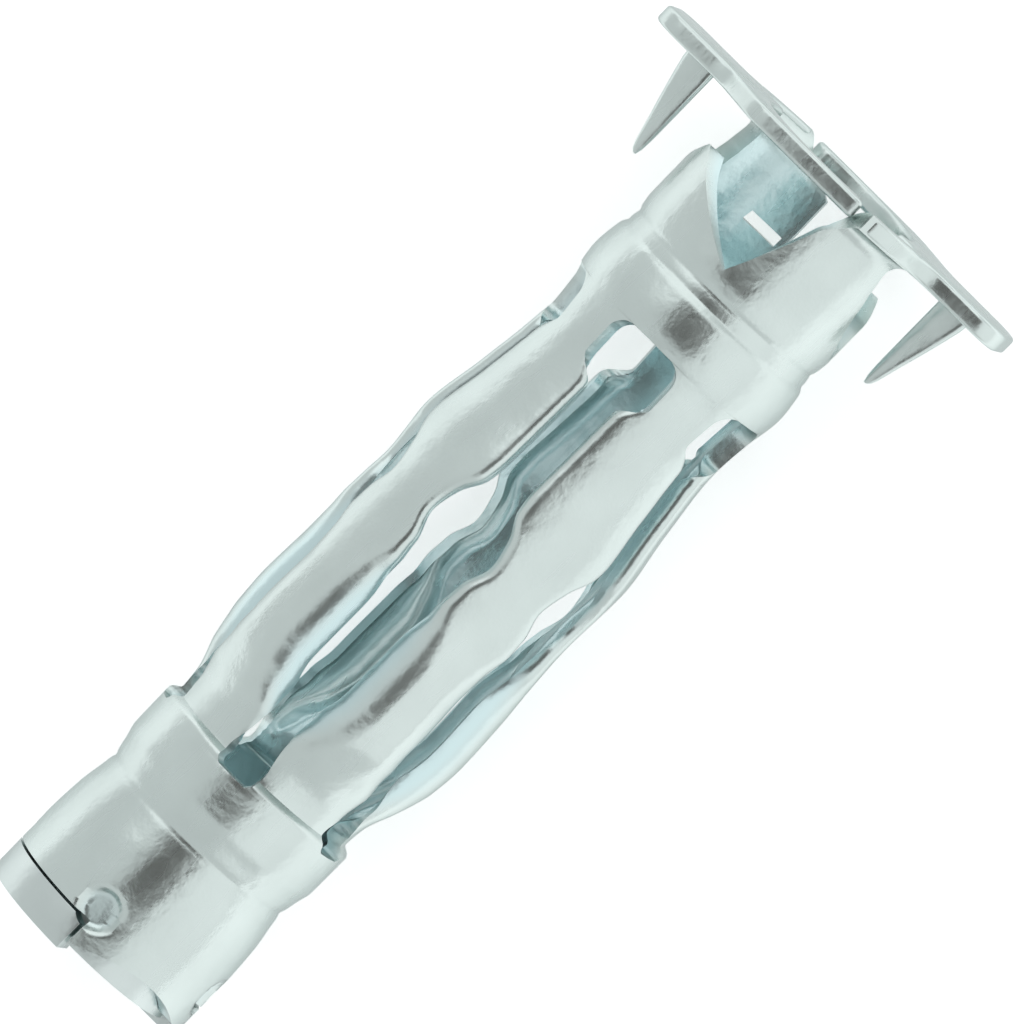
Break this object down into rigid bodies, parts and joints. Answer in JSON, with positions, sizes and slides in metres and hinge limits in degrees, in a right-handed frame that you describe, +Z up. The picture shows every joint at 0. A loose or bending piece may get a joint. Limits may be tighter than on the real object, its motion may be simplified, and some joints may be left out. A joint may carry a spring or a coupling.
{
  "type": "hollow wall anchor",
  "caption": "Metal hollow wall anchor: a rolled sheet sleeve with five folding legs between slots, a winged flange with prongs and a threaded nut staked in its tail.",
  "frame": {"origin": "on the sleeve's axis in the plane of the flange's underside, which bears on the wall", "axes": "+X along the axis from the tail nut to the flange, +Y along the flange's wings, +Z up through the slot that faces up as the anchor lies on a table"},
  "size_m": [0.0521, 0.0228, 0.0137],
  "materials": {
    "zinc_sheet": "bright zinc plate",
    "zinc_nut": "zinc plate"
  },
  "bodies": {
    "root": {"sleeve": "zinc_sheet", "tail_nut": "zinc_nut"}
  },
  "joints": []
}
